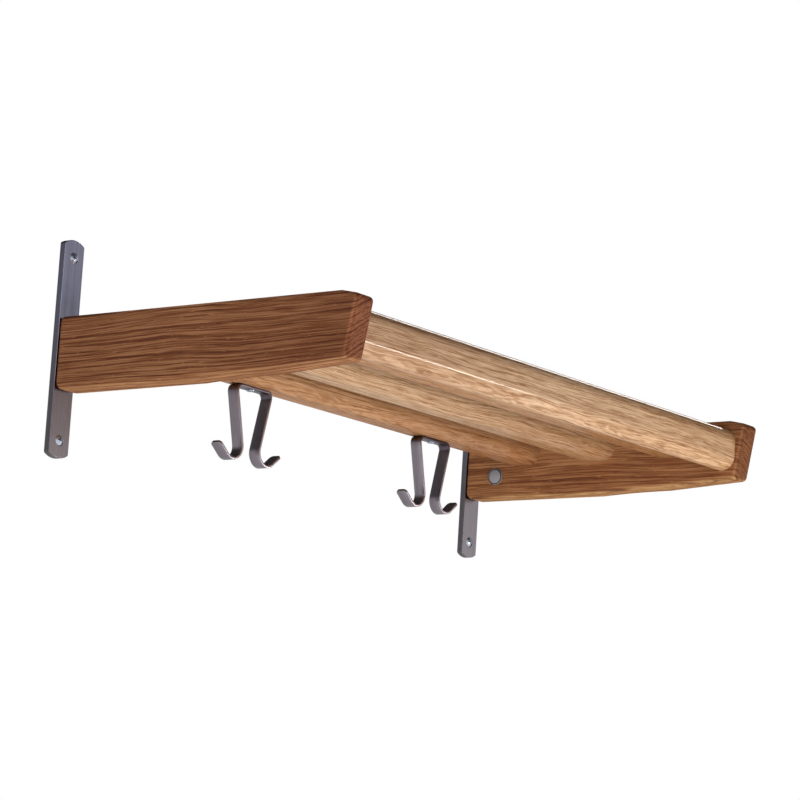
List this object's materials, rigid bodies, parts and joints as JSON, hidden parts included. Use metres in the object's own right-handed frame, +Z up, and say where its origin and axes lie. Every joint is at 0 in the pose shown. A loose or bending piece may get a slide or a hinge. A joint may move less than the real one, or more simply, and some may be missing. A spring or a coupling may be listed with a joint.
{
  "type": "hat shelf",
  "caption": "Wall-hung hat shelf: round-edged oak rails between two oak side brackets on flat steel wall plates, with bent strip double hooks underneath.",
  "frame": {"origin": "middle of the four wall screws, on the wall plane", "axes": "+X along the wall to the right seen from the room, +Y into the wall, +Z up"},
  "size_m": [0.65, 0.379, 0.1956],
  "materials": {
    "oak": "clear satin lacquer on solid oak",
    "beech_dowel": "raw fluted beech dowel",
    "plate_steel": "brushed flat bar, clear coated",
    "hook_steel": "brushed strip, clear coated",
    "zinc_screw": "bright zinc plated",
    "cast_zinc": "zinc die casting",
    "cap_grey": "moulded grey cap"
  },
  "bodies": {
    "root": {"left_wall_plate": "plate_steel", "left_bracket": "oak", "left_upper_wall_screw": "zinc_screw", "left_lower_wall_screw": "zinc_screw", "left_bracket_screw": "zinc_screw", "left_cam_bolt": "zinc_screw", "left_cam": "cast_zinc", "left_cam_cap": "cap_grey", "left_hook": "hook_steel", "left_hook_screw": "zinc_screw", "right_wall_plate": "plate_steel", "right_bracket": "oak", "right_upper_wall_screw": "zinc_screw", "right_lower_wall_screw": "zinc_screw", "right_bracket_screw": "zinc_screw", "right_cam_bolt": "zinc_screw", "right_cam": "cast_zinc", "right_cam_cap": "cap_grey", "right_hook": "hook_steel", "right_hook_screw": "zinc_screw", "back_rail": "oak", "back_rail_left_dowels": "beech_dowel", "back_rail_right_dowels": "beech_dowel", "middle_rail": "oak", "middle_rail_left_dowels": "beech_dowel", "middle_rail_right_dowels": "beech_dowel", "third_rail": "oak", "third_rail_left_dowels": "beech_dowel", "third_rail_right_dowels": "beech_dowel", "front_rail": "oak", "front_rail_left_dowels": "beech_dowel", "front_rail_right_dowels": "beech_dowel"}
  },
  "joints": []
}
